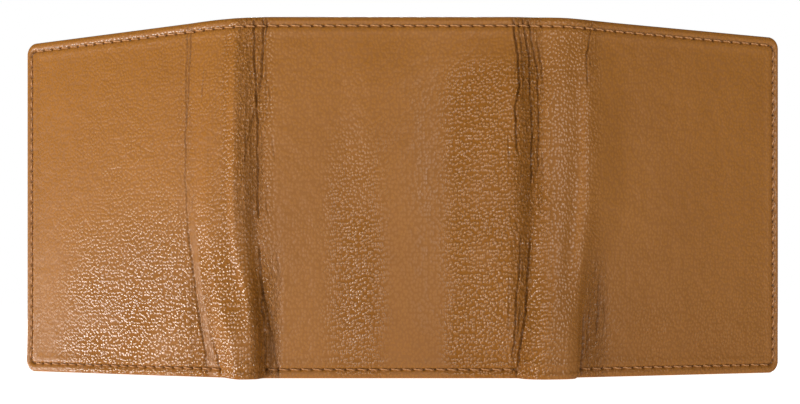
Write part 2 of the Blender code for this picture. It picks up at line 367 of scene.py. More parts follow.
def grid_normals(points):
    """Unit normals of a grid of points, towards the outside of the wallet."""
    down = np.gradient(points, axis=0)
    across = np.gradient(points, axis=1)
    normal = np.cross(across, down)
    return normal / np.maximum(np.linalg.norm(normal, axis=-1, keepdims=True), 1e-9)


# ---------------- wrinkles

# The main furrows: (q, z) points from top to bottom, depth and half width
FURROWS = [
    # where the left wing meets its roll
    ([(-62.5, 107), (-63, 60), (-62, 43)], 0.3, 0.4),
    ([(-62.5, 47), (-58.5, 20), (-55.5, 3)], 0.45, 0.45),
    ([(-61, 106), (-62.5, 76)], 0.28, 0.35),
    ([(-54.5, 15), (-52, 7), (-51, 1.5)], 0.5, 0.4),
    # beside the left roll's top, next to the centre panel
    ([(-41, 106), (-40, 85), (-39.5, 46)], 0.6, 0.42),
    ([(-38, 107.5), (-38.5, 95), (-39.5, 84)], 0.8, 0.42),
    ([(-39.5, 86), (-42.5, 70), (-43, 62)], 0.35, 0.4),
    ([(-37, 107.5), (-38, 97)], 0.4, 0.35),
    ([(-37, 96), (-37.5, 86), (-37, 75)], 0.22, 0.4),
    # beside the left roll's bottom, next to the centre panel
    ([(-39.5, 42), (-38, 15), (-37, 1)], 0.5, 0.45),
    ([(-39.5, 35), (-38.5, 26), (-34, 3.5)], 0.5, 0.42),
    ([(-39, 30), (-36.5, 15), (-36, 3.5)], 0.45, 0.38),
    ([(-37.5, 20), (-36.5, 12), (-36.5, 3)], 0.35, 0.35),
    ([(-37, 24), (-35, 14), (-34.5, 5)], 0.3, 0.35),
    # beside the right roll's top, next to the centre panel
    ([(36, 107.5), (37.5, 95), (37.5, 87), (36.5, 80), (37, 66)], 0.85, 0.42),
    ([(39, 106), (40.5, 96), (41.5, 73), (41, 56)], 0.7, 0.42),
    ([(40.5, 106), (43, 93), (43.5, 75), (43, 60)], 0.5, 0.42),
    ([(38, 105), (39, 90), (38.5, 82)], 0.35, 0.35),
    ([(42.5, 104), (44, 95), (45, 86)], 0.28, 0.4),
    # beside the right roll's bottom, next to the centre panel
    ([(41, 44), (39.5, 20), (38, 11), (37, 1)], 0.75, 0.45),
    ([(38.5, 45), (37, 27), (36, 5)], 0.5, 0.4),
    ([(35, 33), (34.5, 12)], 0.28, 0.38),
    ([(38, 24), (36.5, 5)], 0.35, 0.35),
    # where the right wing meets its roll
    ([(60, 107.5), (58, 97), (58, 86)], 0.42, 0.38),
    ([(58.5, 100), (59.5, 92)], 0.28, 0.35),
    ([(57.5, 22), (56.5, 2)], 0.5, 0.42),
    ([(62, 32), (62, 18), (61, 11)], 0.42, 0.42),
    ([(59.5, 25), (58, 5)], 0.35, 0.4),
    ([(64, 26), (64, 10)], 0.24, 0.4),
]


def furrow(skin, points, depth, width, seed):
    """A crease in the leather along a few points, wandering a little, with a soft lip on each side; also a mask
    for the shade painted into its colour.
    """
    heights = [z for _, z in points][::-1]
    middle = np.interp(skin.z, heights, [q for q, _ in points][::-1])
    middle = middle + 0.22 * lattice(skin.z / 4.3, np.full_like(skin.z, 0.5), seed)
    middle = middle + 0.2 * lattice(skin.z / 1.5, np.full_like(skin.z, 0.5), seed + 1)
    low, high = heights[0], heights[-1]
    fade = smooth((skin.z - low) / 4) * smooth((high - skin.z) / 5)
    if high > HEIGHT - 4:
        fade = smooth((skin.z - low) / 4) * smooth((HEIGHT - skin.z) / 1.5)
    if low < 4:
        fade = smooth(skin.z / 1.5) * smooth((high - skin.z) / 5)
    fade = fade * (0.7 + 0.3 * lattice(skin.z / 3.1, np.full_like(skin.z, 3.5), seed + 2))
    stretch = np.abs(np.gradient(skin.s, axis=1) / np.maximum(np.abs(np.gradient(skin.q, axis=1)), 1e-4))
    away = (skin.q - middle[:, None]) * np.minimum(stretch, 4) / (width * 0.65)
    groove = np.exp(-(away**2))
    lips = 0.3 * (np.exp(-((away - 2.1) ** 2) / 1.2) + np.exp(-((away + 2.1) ** 2) / 1.2))
    return depth * fade[:, None] * (lips - groove), groove * fade[:, None] * min(1, depth / 0.5)


def scattered_furrows(count, seed):
    """Short shallow wrinkles beside and across the rolls: (points, depth, width) like FURROWS."""
    random = np.random.default_rng(seed)
    zones = (
        # q from, q to, z from, z to, lean, share
        (-44, -36, 45, 105, 0.06, 0.2),
        (-38.5, -32, 3, 40, 0.14, 0.16),
        (34, 45, 45, 106, 0.05, 0.22),
        (34, 40, 3, 45, 0.08, 0.14),
        (57, 65, 3, 42, 0.05, 0.14),
        (-61, -54, 3, 100, -0.06, 0.14),
    )
    found = []
    for q0, q1, z0, z1, lean, share in zones:
        for _ in range(round(count * share)):
            q = random.uniform(q0, q1)
            z = random.uniform(z0 + 4, z1)
            long = random.uniform(5, 15)
            drift = random.normal(lean, 0.05) * long
            bend = random.normal(0, 0.25)
            low = max(z - long, 2)
            found.append(([(q, z), (q + drift / 2 + bend, (z + low) / 2), (q + drift, low)],
                          random.uniform(0.08, 0.24), random.uniform(0.28, 0.45)))
    return found


def wrinkles(skin):
    rise = np.zeros_like(skin.s)
    crease_shade = np.zeros_like(skin.s)
    for k, (points, depth, width) in enumerate(FURROWS + scattered_furrows(90, 11)):
        up, dark = furrow(skin, points, depth, width, 100 + 3 * k)
        rise += up
        # the furrows' masks for painted shade, which darkens the leather's colour in them
        crease_shade = np.maximum(crease_shade, dark)
    return rise, crease_shade


# ---------------- the stitch line and its border

def length_at(skin, q, z):
    """The length along the leather at q, in the grid row nearest to height z."""
    k = int(np.argmin(abs(skin.z - z)))
    return float(np.interp(q, skin.q[k], skin.s[k]))


def seam_places(skin):
    """Where the needle went through: lists of (s, z, direction) for each run of stitches."""
    top, low = HEIGHT - SEAM_INSET, SEAM_INSET
    row_top, row_low = np.interp([top, low], skin.z, np.arange(len(skin.z)))
    runs = []

    def across(z, row, q_from, q_to):
        """A straight run at one height, in even stitches of the leather's own length."""
        k = int(round(row))
        s_from, s_to = np.interp([q_from, q_to], skin.q[k], skin.s[k])
        count = max(1, round(abs(s_to - s_from) / STITCH))
        return [(s, z) for s in np.linspace(s_from, s_to, count + 1)]

    bend = CORNER - SEAM_END_INSET
    for side, sign in SIGN.items():
        end = TIP[side] - sign * SEAM_END_INSET
        turn_q = end - sign * bend
        run = across(top, row_top, 0, turn_q)
        shift = run[-1][0] - turn_q
        centre_high, centre_low = top - bend, low + bend
        arc = math.sqrt(0.5) * bend
        run.append((turn_q + sign * arc + shift, centre_high + arc))
        count = round((centre_high - centre_low) / STITCH)
        run += [(length_at(skin, end, z), z) for z in np.linspace(centre_high, centre_low, count + 1)]
        run.append((length_at(skin, end, centre_low) - sign * (bend - arc), centre_low - arc))
        run += across(low, row_low, turn_q, GATHER[side][1] + sign * 0.3)
        runs.append(run)
    runs.append(across(low, row_low, GATHER["left"][0] + 0.6, GATHER["right"][0] - 0.6))
    return runs


def border(skin, runs):
    """The turned edge's rounding and puff, the seam's groove and the needle holes."""
    e = edge_distance(skin.q, skin.height)
    round_off = np.clip(EDGE_ROUND - e, 0, EDGE_ROUND)
    rise = -(EDGE_ROUND - np.sqrt(np.maximum(EDGE_ROUND**2 - round_off**2, 0)))
    seam = edge_distance(skin.q, skin.height, SEAM_INSET - SEAM_END_INSET) - SEAM_INSET
    for away, height, width in PUFFS:
        rise = rise + height * np.exp(-(((seam - away) / width) ** 2))
    rise = rise - SEAM_GROOVE * np.exp(-((seam / GROOVE_HALF) ** 2)) * sewn(skin)
    holes = np.zeros_like(rise)
    for run in runs:
        for k, (s, z) in enumerate(run):
            ahead, behind = run[min(k + 1, len(run) - 1)], run[max(k - 1, 0)]
            way = math.atan2(ahead[1] - behind[1], ahead[0] - behind[0])
            near = np.abs(skin.z - z) < 2
            rows = np.nonzero(near)[0]
            ds = skin.s[rows] - s
            dz = (skin.z[rows] - z)[:, None] + 0 * ds
            lengthwise = ds * math.cos(way) + dz * math.sin(way)
            crosswise = -ds * math.sin(way) + dz * math.cos(way)
            dent = np.exp(-((lengthwise / HOLE_LONG) ** 2) - ((crosswise / HOLE_WIDE) ** 2))
            holes[rows] = np.maximum(holes[rows], dent)
    return rise - HOLE_DEPTH * holes, holes


def sewn(skin):
    """1 where a seam groove runs, 0 over the rolls' gathered bottom ends."""
    open_zone = np.zeros_like(skin.s)
    for side in SIGN:
        low, high = sorted(GATHER[side])
        inside = smooth((skin.q - low + 0.6) / 0.6) * smooth((high + 0.6 - skin.q) / 0.6)
        open_zone = np.maximum(open_zone, inside * (skin.height < HEIGHT / 2))
    return 1 - open_zone


# ---------------- meshes

def new_object(name, points_mm, faces, material, normals=None, floats=None, vectors=None):
    """A smooth-shaded object from points in millimetres, with the maps that its material reads."""
    mesh = bpy.data.meshes.new(name)
    mesh.from_pydata((np.asarray(points_mm) * MM).tolist(), [], faces)
    mesh.polygons.foreach_set("use_smooth", [True] * len(mesh.polygons))
    for key, values in (floats or {}).items():
        mesh.attributes.new(key, "FLOAT", "POINT").data.foreach_set("value", np.asarray(values, np.float32))
    for key, values in (vectors or {}).items():
        made = mesh.attributes.new(key, "FLOAT_VECTOR", "POINT")
        made.data.foreach_set("vector", np.asarray(values, np.float32).ravel())
    mesh.validate()
    mesh.update()
    if normals is not None:
        mesh.normals_split_custom_set_from_vertices(np.asarray(normals).tolist())
    mesh.materials.append(material)
    made = bpy.data.objects.new(name, mesh)
    bpy.context.scene.collection.objects.link(made)
    return made


def closed_sheet(front, back, step):
    """Vertices and faces of a closed sheet: a fine front grid, a coarser back grid and the rim between.

    Both are (rows, columns, 3), and back is already thinned to every step-th row and column."""
    rows, columns = front.shape[:2]
    back_rows, back_columns = back.shape[:2]
    index = np.arange(rows * columns).reshape(rows, columns)
    back_index = rows * columns + np.arange(back_rows * back_columns).reshape(back_rows, back_columns)

    def quads(grid, flip):
        ring = [grid[:-1, :-1], grid[:-1, 1:], grid[1:, 1:], grid[1:, :-1]]
        if flip:
            ring = ring[::-1]
        return np.stack(ring, axis=-1).reshape(-1, 4).tolist()

    faces = quads(index, False) + quads(back_index, True)

    def rim(fine, coarse, flip):
        for k in range(len(coarse) - 1):
            loop = [int(i) for i in fine[k * step : (k + 1) * step + 1]]
            loop += [int(coarse[k + 1]), int(coarse[k])]
            faces.append(loop if flip else loop[::-1])

    rim(index[0], back_index[0], False)
    rim(index[-1], back_index[-1], True)
    rim(index[:, 0], back_index[:, 0], True)
    rim(index[:, -1], back_index[:, -1], False)
    return np.concatenate([front.reshape(-1, 3), back.reshape(-1, 3)]), faces


BLEND_REACH = 4.0
# The pieces of a layer along the whole wallet: name, side, and whether it is the wing's
QUARTERS = (
    ("left_wing", "left", True),
    ("centre_left", "left", False),
    ("centre_right", "right", False),
    ("right_wing", "right", True),
)


def fold_zone(side, wing):
    sign = SIGN[side]
    middle = SPINE_MIDDLE[side]
    if wing:
        far = sign * (HALF + SPAN[side] + BLEND_REACH)
        bodies = (f"{side}_spine", f"{side}_wing")
        start, end = middle, far
    else:
        near = sign * (HALF - BLEND_REACH)
        bodies = ("centre", f"{side}_spine")
        start, end = near, middle
    points = [Vector((place(q, HINGE_DEPTH, HEIGHT / 2) * MM).tolist()) for q in (start, end)]
    return (*bodies, *points)


def bend_with_fold(made, side, wing):
    a, b, start, end = fold_zone(side, wing)
    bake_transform(made)


def quarter_nodes(name, side, wing, stem, fold_stem):
    """The CAD nodes that a quarter of a layer stands for; the centre's own goes with the left half."""
    nodes = [f"{stem}_{side}" if wing else f"{fold_stem}_{side}"]
    return nodes + ([f"{stem}_centre"] if name == "centre_left" else [])


def within(q, low, high, soft):
    """1 between low and high, fading to 0 over a distance of soft outside them."""
    return smooth((q - low + soft) / soft) * smooth((high + soft - q) / soft)


def grain_relief(skin):
    """How strongly the pebbles stand up: the leather is looser near the folds and flat elsewhere."""
    q, z = skin.q, skin.height
    near = lambda low, high, soft: within(q, low, high, soft)
    relief = np.full_like(q, 0.16)
    relief += 0.75 * near(-92, -57, 26) * (0.25 + 0.75 * smooth((62 - z) / 45))
    relief += 0.55 * near(-56, -50, 4) * smooth((45 - z) / 25) + 0.35 * near(-48.5, -37, 3)
    relief += 0.6 * near(-14, -7, 9) * smooth((84 - z) / 40)
    relief += 0.8 * near(21, 40, 9) * smooth((104 - z) / 20)
    relief += 0.3 * near(40, 60, 4)
    relief += 0.18 * near(62, 120, 12) * smooth((50 - z) / 40)
    relief *= 1 + 0.3 * lattice(q / 9, z / 9, 31)
    crease = np.interp(z, (0, 12, 26, 40, 56), (-55.2, -57.2, -59.4, -61.4, -62.8))
    foot = np.interp(z, (0, 12, 26, 40, 56), (-51.2, -53.4, -56.0, -58.0, -60.4))
    band = smooth((q - crease) / 0.6) * smooth((foot - q) / 1.2) * smooth((62 - z) / 20)
    return np.clip(relief * (1 - 0.9 * band), 0.05, 1)


def crinkle(skin):
    """Where the leather beside the folds is crumpled into a web of small upright creases: 0 to 1. The material
    bumps these creases and paints shade into them.
    """
    q, z = skin.q, skin.height
    near = lambda low, high, soft: within(q, low, high, soft)
    found = near(-44.5, -39.0, 2.5) * smooth((z - 34) / 22) + near(-39.5, -34.5, 2.5) * smooth((46 - z) / 18)
    found += near(37.0, 43.5, 2.2) * smooth((z - 36) / 22) + near(36.5, 39.5, 2.2) * smooth((52 - z) / 18)
    found += 0.8 * near(58.5, 63.5, 3.0) * smooth((44 - z) / 18)
    found += 0.5 * near(57.5, 61.5, 3) * smooth((z - 82) / 12)
    found += 0.7 * near(-60.5, -53.5, 2.0) * smooth((40 - z) / 20) + 0.25 * near(-64.5, -61.5, 2)
    return np.clip(found, 0, 1)


def make_outer_leather(skin, materials):
    runs = seam_places(skin)
    crease_rise, crease_shade = wrinkles(skin)
    edge_rise, holes = border(skin, runs)
    relief, crumpled = grain_relief(skin), crinkle(skin)
    fine = 0.05 * lattice(skin.s / 2.3, skin.height / 2.9, 21)
    fine = fine + 0.03 * lattice(skin.s / 1.1, skin.height / 1.3, 22)
    inside = smooth((edge_distance(skin.q, skin.height) - 0.2) / 1.5)
    rise = crease_rise * inside + edge_rise + fine * inside
    front = skin.base + skin.normal * rise[..., None]
    front[..., 2] = np.maximum(front[..., 2], 0.0)
    normals = grid_normals(front)
    thick = COVER_BACK + (HEM_BACK - COVER_BACK) * smooth((skin.height - HEM_START + 0.4) / 0.8)
    e = edge_distance(skin.q, skin.height)
    tuck = EDGE_ROUND - np.sqrt(np.maximum(EDGE_ROUND**2 - np.clip(EDGE_ROUND - e, 0, EDGE_ROUND) ** 2, 0))
    back = skin.base - skin.normal * (thick - tuck)[..., None]
    filled = place(skin.q, np.full_like(skin.q, COVER_BACK), skin.height)
    fill = (1 - smooth((skin.height - 1.5) / 2.5))[..., None]
    on_roll = (1 - sewn(skin))[..., None]
    back = back + (filled - back) * fill * on_roll
    flat = np.stack([skin.s, skin.height, np.zeros_like(skin.s)], axis=-1)

    for (name, side, wing), first, last in zip(QUARTERS, skin.splits[:-1], skin.splits[1:]):
        part = slice(first, last + 1)
        thin = (slice(None, None, BACK_STEP), slice(first, last + 1, BACK_STEP))
        points, faces = closed_sheet(front[:, part], back[thin], BACK_STEP)
        flatten = lambda grid: grid.reshape(-1, *grid.shape[2:])
        join = lambda a, b: np.concatenate([flatten(a[:, part]), flatten(b[thin])])
        made = new_object(
            f"outer_leather_{name}",
            points,
            faces,
            materials["outer_leather"],
            normals=join(normals, -skin.normal),
            floats={
                # where the material paints shade into the furrows' colour
                "crease_shade": join(crease_shade, crease_shade * 0),
                # the needle holes' mask, which the material also uses to paint shade into them
                "hole": join(holes, holes * 0),
                "relief": join(relief, relief),
                "crumpled": join(crumpled, crumpled * 0),
            },
            vectors={"flat": join(flat, flat)},
        )
        bend_with_fold(made, side, wing)
        if wing:
            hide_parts(f"cover_{side}", f"top_hem_{side}")
        else:
            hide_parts(f"cover_fold_{side}", f"top_hem_fold_{side}")
            if side == "left":
                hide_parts("cover_centre", "top_hem_centre")
    return runs


# ---------------- stitches

THREAD_RADIUS, INNER_THREAD_RADIUS = 0.25, 0.26
RING = 8
RINGS = 9
STITCH_LEAN, INNER_STITCH_LEAN = 0.16, 0.14
SHORTEST_STITCH = 1.2


def tubes(paths, radii):
    """One mesh of many short closed tubes: paths is (n, rings, 3), radii is (n, rings)."""
    tangent = np.gradient(paths, axis=1)
    tangent /= np.maximum(np.linalg.norm(tangent, axis=-1, keepdims=True), 1e-9)
    side = np.cross(tangent, np.array((0.31, 0.87, 0.38)))
    side /= np.linalg.norm(side, axis=-1, keepdims=True)
    up = np.cross(side, tangent)
    angle = np.linspace(0, 2 * math.pi, RING, endpoint=False)
    ring = np.cos(angle)[:, None] * side[:, :, None] + np.sin(angle)[:, None] * up[:, :, None]
    points = paths[:, :, None] + radii[:, :, None, None] * ring
    count, rings = paths.shape[:2]
    faces = []
    for t in range(count):
        first = t * rings * RING
        for r in range(rings - 1):
            for k in range(RING):
                a, b = first + r * RING + k, first + r * RING + (k + 1) % RING
                faces.append((b, a, a + RING, b + RING))
        faces.append(tuple(first + k for k in range(RING)))
        faces.append(tuple(first + (rings - 1) * RING + k for k in range(RING))[::-1])
    lengthwise = np.broadcast_to(np.linspace(0, 1, rings)[None, :, None], (count, rings, RING))
    turned = np.broadcast_to(np.linspace(0, 1, RING, endpoint=False)[None, None, :], (count, rings, RING))
    numbers = np.broadcast_to(np.arange(count)[:, None, None], (count, rings, RING))
    flat = np.stack([lengthwise, turned, numbers], axis=-1)
    return points.reshape(-1, 3), faces, flat.reshape(-1, 3)


def thread_radii(radius, shape):
    """Each stitch's thickness from ring to ring: it thins where it goes into its holes."""
    taper = np.sin(np.linspace(0.12, 0.88, RINGS) * math.pi) ** 0.35
    return np.broadcast_to(radius * taper, shape)


def on_skin(skin, s, z):
    """The leather's surface without its fine relief, at length s and height z: (point, normal)."""
    row = np.interp(z, skin.z, np.arange(len(skin.z)))
    k = min(int(row), len(skin.z) - 2)
    share = row - k
    found = []
    for grid in (skin.base, skin.normal):
        ends = [np.array([np.interp(s, skin.s[r], grid[r, :, a]) for a in range(3)]) for r in (k, k + 1)]
        found.append(ends[0] * (1 - share) + ends[1] * share)
    return found


def stitch_paths(skin, runs):
    """The visible part of each stitch: a short arch from hole to hole, leaning a little across the line."""
    paths = []
    for run in runs:
        for (s0, z0), (s1, z1) in zip(run[:-1], run[1:]):
            way = np.array((s1 - s0, z1 - z0))
            long = float(np.linalg.norm(way))
            if long < SHORTEST_STITCH:
                continue
            way /= long
            cross = np.array((-way[1], way[0]))
            line = []
            for t in np.linspace(0, 1, RINGS):
                at = np.array((s0, z0)) + way * (long * (0.07 + 0.86 * t)) + cross * STITCH_LEAN * (1 - 2 * t)
                point, normal = on_skin(skin, at[0], at[1])
                lift = -0.5 + 0.62 * math.sin(math.pi * t) ** 0.6
                line.append(point + normal * lift)
            paths.append(line)
    return np.array(paths)


def make_outer_stitches(skin, runs, materials):
    paths = stitch_paths(skin, runs)
    radii = thread_radii(THREAD_RADIUS, paths.shape[:2])
    nodes = {"left_wing": ["edge_seam_left"], "right_wing": ["edge_seam_right"],
             "centre_left": ["top_seam_fold_left", "top_seam_centre", "bottom_seam_centre"],
             "centre_right": ["top_seam_fold_right"]}
    middle_x = paths[:, RINGS // 2, 0]
    cuts = [float(place(q, 0, 0)[0]) for q in (SPINE_MIDDLE["left"], 0, SPINE_MIDDLE["right"])]
    edges = [-math.inf, *cuts, math.inf]
    for k, (name, side, wing) in enumerate(QUARTERS):
        chosen = (middle_x >= edges[k]) & (middle_x < edges[k + 1])
        points, faces, flat = tubes(paths[chosen], radii[chosen])
        thread_name = f"edge_stitching_{name}"
        made = new_object(thread_name, points, faces, materials["thread"], vectors={"flat": flat})
        bend_with_fold(made, side, wing)
        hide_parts(*nodes[name])


# ---------------- the layers inside

def roll_rise(q, z):
    """How far the outer leather stands off over the folds, for a row of places q at each height in z."""
    rows = []
    for left, right in zip(through(list(LEFT_ROLL), list(LEFT_ROLL.values()), z),
                           through(list(RIGHT_ROLL), list(RIGHT_ROLL.values()), z)):
        places = np.concatenate([left, right])
        rows.append(np.interp(q, places[:, 0], places[:, 1]))
    return np.array(rows)


def edge_places(start, end, step, stops=()):
    """Places from start to end, close together beside both ends and on either side of each stop."""
    near = (0, 0.04, 0.1, 0.18, 0.3, 0.6)
    line = list(np.linspace(start, end, max(4, math.ceil((end - start) / step)) + 1))
    line += [start + e for e in near] + [end - e for e in near]
    for stop in stops:
        line += [stop - 0.3, stop - 0.1, stop, stop + 0.1, stop + 0.3]
    line = sorted(set(round(v, 3) for v in line if start <= v <= end))
    return np.array([v for k, v in enumerate(line) if k == 0 or v - line[k - 1] > 0.015])


def thin_panel(name, node_box, material, lift=None, near_lift=None, stops=((), ()), step=1.1, round_by=0.2,
               outer_end=0, radius=0.0):
    """A closed sheet on the unfolded wallet. lift(q, z) raises its inner face and near_lift the other one;
    outer_end is -1 or 1 where one end has rounded corners of the given radius."""
    (q0, q1), (near, far), (z0, z1) = node_box
    q = edge_places(q0, q1, step, stops[0])
    z = edge_places(z0, z1, step, stops[1])
    q, z = np.meshgrid(q, z)
    reach = np.clip(radius - np.minimum(z - z0, z1 - z), 0, radius)
    cut = radius - np.sqrt(np.maximum(radius**2 - reach**2, 0))
    if outer_end < 0:
        q = q1 - (q1 - q) * (q1 - q0 - cut) / (q1 - q0)
    elif outer_end > 0:
        q = q0 + (q - q0) * (q1 - q0 - cut) / (q1 - q0)
    e = np.minimum(np.minimum(q - q0, q1 - q), np.minimum(z - z0, z1 - z))
    tuck = round_by - np.sqrt(np.maximum(round_by**2 - np.clip(round_by - e, 0, round_by) ** 2, 0))
    rise = lift(q, z) if lift else 0
    sink = near_lift(q, z) if near_lift else 0
    front = place(q, near + tuck + sink, z)
    back = place(q, far - tuck + rise, z)
    points, faces = closed_sheet(front, back, 1)
    flat = np.stack([q, z, 0 * q], axis=-1).reshape(-1, 3)
    return new_object(name, points, faces, material, vectors={"flat": np.concatenate([flat, flat])})


# A pocket's turned mouth: how far the turning reaches down, and where the line is pressed
MOUTH_TURN, MOUTH_LINE = 5.2, 1.7
PRESS = 0.09


def turned_mouth(top, seed):
    """A pocket's face: turned over at its mouth with a pressed line below, and waving very slightly."""
    def lift(q, z):
        below = top - z
        band = 0.1 * smooth((MOUTH_TURN - below) / 0.8)
        line = -PRESS * np.exp(-(((below - MOUTH_LINE) / 0.22) ** 2))
        return band + line + 0.05 * lattice(q / 13, z / 11, seed)
    return lift


def spanning(node_box, side, wing):
    """A quarter's share of a layer: its box between the wallet's middle, the fold's middle and the end."""
    middle = SPINE_MIDDLE[side]
    ends = (middle, node_box[0][0] if side == "left" else node_box[0][1]) if wing else (0.0, middle)
    return (min(ends), max(ends)), node_box[1], node_box[2]


def make_lining(materials):
    for name, side, wing in QUARTERS:
        node_box = spanning(strip_box(f"lining_{side}" if wing else "lining_centre"), side, wing)

        def lift(q, z):
            gap = np.maximum(roll_rise(q[0], z[:, 0]) - 1.0, 0)
            return -0.3 * gap * smooth((HEIGHT - 8 - z) / 5) + 0.04 * lattice(q / 7, z / 9, 51)

        made = thin_panel(f"lining_cloth_{name}", node_box, materials["lining"], lift, lift, round_by=0.08)
        bend_with_fold(made, side, wing)
        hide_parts(*quarter_nodes(name, side, wing, "lining", "lining_fold"))


LIP_TOP = 1.12


def make_hems(materials):
    """The leather turned in along the bottom and the two ends; at the bottom its fold closes the edge."""
    for name, side, wing in QUARTERS:
        node_box = spanning(strip_box(f"bottom_hem_{side}" if wing else "bottom_hem_centre"), side, wing)
        lip = lambda q, z: np.where(z < LIP_TOP, COVER_BACK + 0.04 - HEM_NEAR, 0.0)
        made = thin_panel(f"bottom_turning_{name}", node_box, materials["outer_leather_plain"], near_lift=lip,
                          stops=((), (LIP_TOP,)), outer_end=SIGN[side] if wing else 0,
                          radius=0.8 if wing else 0.0)
        bend_with_fold(made, side, wing)
        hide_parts(*quarter_nodes(name, side, wing, "bottom_hem", "bottom_hem_fold"))
    for side in SIGN:
        node_box = strip_box(f"side_hem_{side}")
        made = thin_panel(f"end_turning_{side}", node_box, materials["outer_leather_plain"])
        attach(made, f"{side}_wing")
        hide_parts(f"side_hem_{side}")


def make_inner_back(materials):
    for name, side, wing in QUARTERS:
        node_box = spanning(strip_box(f"inner_back_{side}" if wing else "inner_back_centre"), side, wing)
        top = node_box[2][1]
        mouth = turned_mouth(top, 61)

        def lift(q, z):
            away = np.minimum(abs(abs(q) - HALF), abs(abs(q) - HALF - SPAN[side]))
            return mouth(q, z) - 0.14 * np.exp(-((away / 0.5) ** 2))

        sign = SIGN[side]
        creases = [sign * HALF, sign * (HALF + SPAN[side])]
        made = thin_panel(f"inner_back_{name}", node_box, materials["inner_leather"], lift,
                          stops=(creases, (top - 1.7, top - 5)), outer_end=sign if wing else 0,
                          radius=2.3 if wing else 0.0, step=0.9)
        bend_with_fold(made, side, wing)
        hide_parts(*quarter_nodes(name, side, wing, "inner_back", "inner_gusset"))


def make_pockets(materials):
    for side, sign in SIGN.items():
        for k, tier in enumerate(("rear", "middle", "front")):
            node_name = f"card_pocket_{side}_{tier}"
            node_box = strip_box(node_name)
            top = node_box[2][1]
            made = thin_panel(f"pocket_{side}_{tier}", node_box, materials["inner_leather"],
                              turned_mouth(top, 70 + k), stops=((), (top - 1.7, top - 5)), step=0.9)
            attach(made, f"{side}_wing")
            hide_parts(node_name)
    node_box = strip_box("slip_pocket_centre")
    top = node_box[2][1]
    made = thin_panel("slip_pocket", node_box, materials["inner_leather"], turned_mouth(top, 80),
                      stops=((), (top - 1.7, top - 5)), step=0.9)
    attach(made, "centre")
    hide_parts("slip_pocket_centre")


# The window's opening: across, up and its corners' radius
OPENING = ((-25.0, 25.0), (9.0, 84.0), 3.0)
# The frame's rings, as shares of the way out from the opening: close at both edges and at the pressed line
WINDOW_STEPS = (0, 0.012, 0.03, 0.06, 0.12, 0.17, 0.2, 0.23, 0.3, 0.5, 0.7, 0.85, 0.94, 0.975, 0.99, 1)


def round_path(x0, x1, z0, z1, radius, side_steps=26, corner_steps=8):
    """Points round a rectangle with rounded corners, the same number for any size: (n, 2)."""
    points = []
    corners = ((x1 - radius, z0 + radius, -90), (x1 - radius, z1 - radius, 0), (x0 + radius, z1 - radius, 90),
               (x0 + radius, z0 + radius, 180))
    for k, (x, z, start) in enumerate(corners):
        arc = [math.radians(start + 90 * i / corner_steps) for i in range(corner_steps + 1)]
        turn = [(x + radius * math.cos(a), z + radius * math.sin(a)) for a in arc]
        x_next, z_next, start_next = corners[(k + 1) % 4]
        first = math.radians(start_next)
        nearest = (x_next + radius * math.cos(first), z_next + radius * math.sin(first))
        points += turn + [tuple(np.array(turn[-1]) + (np.array(nearest) - turn[-1]) * i / side_steps)
                          for i in range(1, side_steps)]
    return np.array(points)


def make_window(materials):
    (q0, q1), (near, far), (z0, z1) = strip_box("id_window_frame")
    (w0, w1), (s0, s1), radius = OPENING
    inner, outer = round_path(w0, w1, s0, s1, radius), round_path(q0, q1, z0, z1, 0.6)
    shares = np.array(WINDOW_STEPS)
    ends = np.minimum(shares, 1 - shares) * 8
    tuck = 0.2 - np.sqrt(np.maximum(0.04 - np.clip(0.2 - ends, 0, 0.2) ** 2, 0))
    press = -PRESS * np.exp(-(((shares - 0.2) / 0.022) ** 2))
    flat = inner[:, None] + (outer - inner)[:, None] * shares[None, :, None]
    q, z = flat[..., 0], flat[..., 1]
    wave = 0.05 * lattice(q / 13, z / 11, 83)
    near_face = place(q, near + tuck, z)
    far_face = place(q, far - tuck + press + wave, z)
    ring = np.concatenate([near_face, far_face[:, ::-1]], axis=1)
    count, width = ring.shape[:2]
    index = np.arange(count * width).reshape(count, width)
    after, beside = np.roll(index, -1, axis=0), np.roll(index, -1, axis=1)
    both = np.roll(after, -1, axis=1)
    faces = np.stack([index, beside, both, after], axis=-1).reshape(-1, 4).tolist()
    maps = np.concatenate([flat, flat[:, ::-1]], axis=1)
    maps = np.concatenate([maps, np.zeros((*maps.shape[:2], 1))], axis=2)
    made = new_object("window_frame", ring.reshape(-1, 3), faces, materials["inner_leather"],
                      vectors={"flat": maps.reshape(-1, 3)})
    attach(made, "centre")
    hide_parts("id_window_frame")
    wave = lambda q, z: 0.03 * lattice(q / 9, z / 14, 90)
    made = thin_panel("window_sheet", strip_box("id_window_sheet"), materials["clear_vinyl"], wave, wave,
                      step=1.5, round_by=0.06)
    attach(made, "centre")
    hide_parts("id_window_sheet")


def stack_depth(z, side):
    """The depth of the topmost inner layer on a wing at height z."""
    depth = INNER_BACK[1]
    for tier in ("rear", "middle", "front"):
        _, (_, far), (_, top) = strip_box(f"card_pocket_{side}_{tier}")
        if z < top:
            depth = far
    return depth


def inner_stitches(points):
    """Visible thread on the inner side along (q, z, depth) points one stitch apart."""
    paths = []
    for (q0, z0, d0), (q1, z1, d1) in zip(points[:-1], points[1:]):
        if abs(d0 - d1) > 0.1:
            continue
        way = np.array((q1 - q0, z1 - z0)) / math.hypot(q1 - q0, z1 - z0)
        cross = np.array((-way[1], way[0])) * INNER_STITCH_LEAN
        t = np.linspace(0.1, 0.9, RINGS)
        lean = np.linspace(1, -1, RINGS)
        lift = -0.34 + 0.5 * np.sin(np.linspace(0, math.pi, RINGS)) ** 0.6
        q = q0 + (q1 - q0) * t + cross[0] * lean
        z = z0 + (z1 - z0) * t + cross[1] * lean
        paths.append(place(q, d0 + lift, z))
    return paths


def run_of(start, end, depth):
    """Points one stitch apart from start to end, both (q, z), at depth(z)."""
    count = max(1, round(math.dist(start, end) / STITCH))
    return [(q, z, depth(z)) for q, z in np.linspace(start, end, count + 1)]


